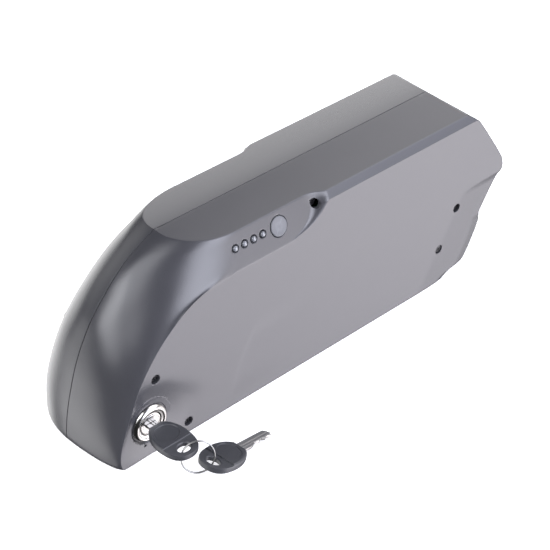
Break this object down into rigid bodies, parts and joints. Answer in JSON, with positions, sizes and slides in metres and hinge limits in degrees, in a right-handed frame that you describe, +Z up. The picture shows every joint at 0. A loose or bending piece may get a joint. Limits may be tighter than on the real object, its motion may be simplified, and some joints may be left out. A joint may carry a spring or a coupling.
{
  "type": "lockable bicycle battery pack",
  "caption": "Hard-cased lithium battery pack for a bicycle frame, with a rounded nose, key lock, charge lights, power button and a keyed socket at the rear.",
  "frame": {"origin": "centre of the slide plate's underside, in the plane the pack stands on and where the two half shells meet", "axes": "+X from the rounded nose with the lock to the connector end, +Z up, -Y towards the side with the lock, lights and button"},
  "size_m": [0.3614, 0.1431, 0.1296],
  "materials": {
    "shell_plastic": "satin moulded plastic, dark warm grey",
    "seal_rubber": "matt black rubber",
    "plate_steel": "brushed steel",
    "screw_black": "black oxide steel",
    "cell_sleeve": "green shrink sleeve over a cell can",
    "frame_plastic": "matt black plastic",
    "circuit_board": "green solder mask",
    "heat_sink_aluminium": "milled aluminium",
    "black_plastic": "black plastic",
    "bus_nickel": "nickel-plated strip",
    "lead_red": "silicone-insulated lead",
    "lead_black": "silicone-insulated lead",
    "contact_brass": "plated brass",
    "light_lens": "clear moulded lens",
    "button_plastic": "satin grey plastic",
    "lock_chrome": "polished chrome plate",
    "lock_alloy": "zinc alloy",
    "key_grip": "dark grey moulded grip",
    "key_steel": "nickel-plated steel"
  },
  "bodies": {
    "shell": {"near_shell": "shell_plastic", "far_shell": "shell_plastic", "perimeter_seal": "seal_rubber", "slide_plate": "plate_steel", "shell_screw_1": "screw_black", "shell_screw_2": "screw_black", "shell_screw_3": "screw_black", "frame_screw_1": "screw_black", "frame_screw_2": "screw_black", "cell_group_01": "cell_sleeve", "cell_group_02": "cell_sleeve", "cell_group_03": "cell_sleeve", "cell_group_04": "cell_sleeve", "cell_group_05": "cell_sleeve", "cell_group_06": "cell_sleeve", "cell_group_07": "cell_sleeve", "cell_group_08": "cell_sleeve", "cell_group_09": "cell_sleeve", "cell_group_10": "cell_sleeve", "cell_group_11": "cell_sleeve", "cell_group_12": "cell_sleeve", "cell_group_13": "cell_sleeve", "cell_frame_near": "frame_plastic", "cell_frame_far": "frame_plastic", "bms_board": "circuit_board", "bms_heat_sink": "heat_sink_aluminium", "main_fuse": "black_plastic", "positive_busbar": "bus_nickel", "negative_busbar": "bus_nickel", "discharge_lead_positive": "lead_red", "discharge_lead_negative": "lead_black", "charge_lead": "lead_black", "discharge_socket": "black_plastic", "contact_blade_1": "contact_brass", "contact_blade_2": "contact_brass", "contact_blade_3": "contact_brass", "contact_blade_4": "contact_brass", "charge_socket": "black_plastic", "charge_pin": "contact_brass", "charge_light_1": "light_lens", "charge_light_2": "light_lens", "charge_light_3": "light_lens", "charge_light_4": "light_lens", "indicator_board": "circuit_board", "button_switch": "black_plastic", "lock_bezel": "lock_chrome", "lock_body": "lock_alloy"},
    "lock_cylinder": {"lock_plug": "lock_chrome", "lock_cam": "lock_alloy"},
    "latch": {"latch_bolt": "lock_alloy"},
    "key_1": {"key_1_head": "key_grip", "key_1_blade": "key_steel"},
    "key_ring": {"split_ring": "key_steel"},
    "key_2": {"key_2_head": "key_grip", "key_2_blade": "key_steel"},
    "button": {"power_button": "button_plastic"},
    "socket_cap": {"charge_cap": "seal_rubber"}
  },
  "joints": [
    {"name": "lock_turn", "type": "hinge", "parent": "shell", "child": "lock_cylinder", "pos_m": [-0.1496, -0.0436, 0.0249], "axis": [0, -1, 0], "range_deg": [0, 90]},
    {"name": "latch_slide", "type": "slide", "parent": "shell", "child": "latch", "axis": [0, 0, -1], "range_m": [0, 0.008]},
    {"name": "key_1_pull", "type": "slide", "parent": "lock_cylinder", "child": "key_1", "axis": [0, -1, 0], "range_m": [0, 0.03]},
    {"name": "ring_swing", "type": "hinge", "parent": "key_1", "child": "key_ring", "pos_m": [-0.1496, -0.0739, 0.0249], "axis": [-1, 0, 0], "range_deg": [0, 30]},
    {"name": "key_2_swing", "type": "hinge", "parent": "key_ring", "child": "key_2", "pos_m": [-0.13636, -0.08588, 0.01392], "axis": [0.5674, -0.0221, 0.8231], "range_deg": [0, 20]},
    {"name": "button_press", "type": "slide", "parent": "shell", "child": "button", "axis": [0, 0.9259, -0.3778], "range_m": [0, 0.001], "stiffness_N_per_m": 1500, "springref_m": -0.0005},
    {"name": "cap_flip", "type": "hinge", "parent": "shell", "child": "socket_cap", "pos_m": [-0.1395, 0.04487, 0.051], "axis": [1, 0, 0], "range_deg": [0, 150], "stiffness_Nm_per_rad": 0.002, "springref_deg": -5.73}
  ],
  "couplings": [
    {"joint": "latch_slide", "follows": "lock_turn", "m_per_rad": 0.00509}
  ]
}
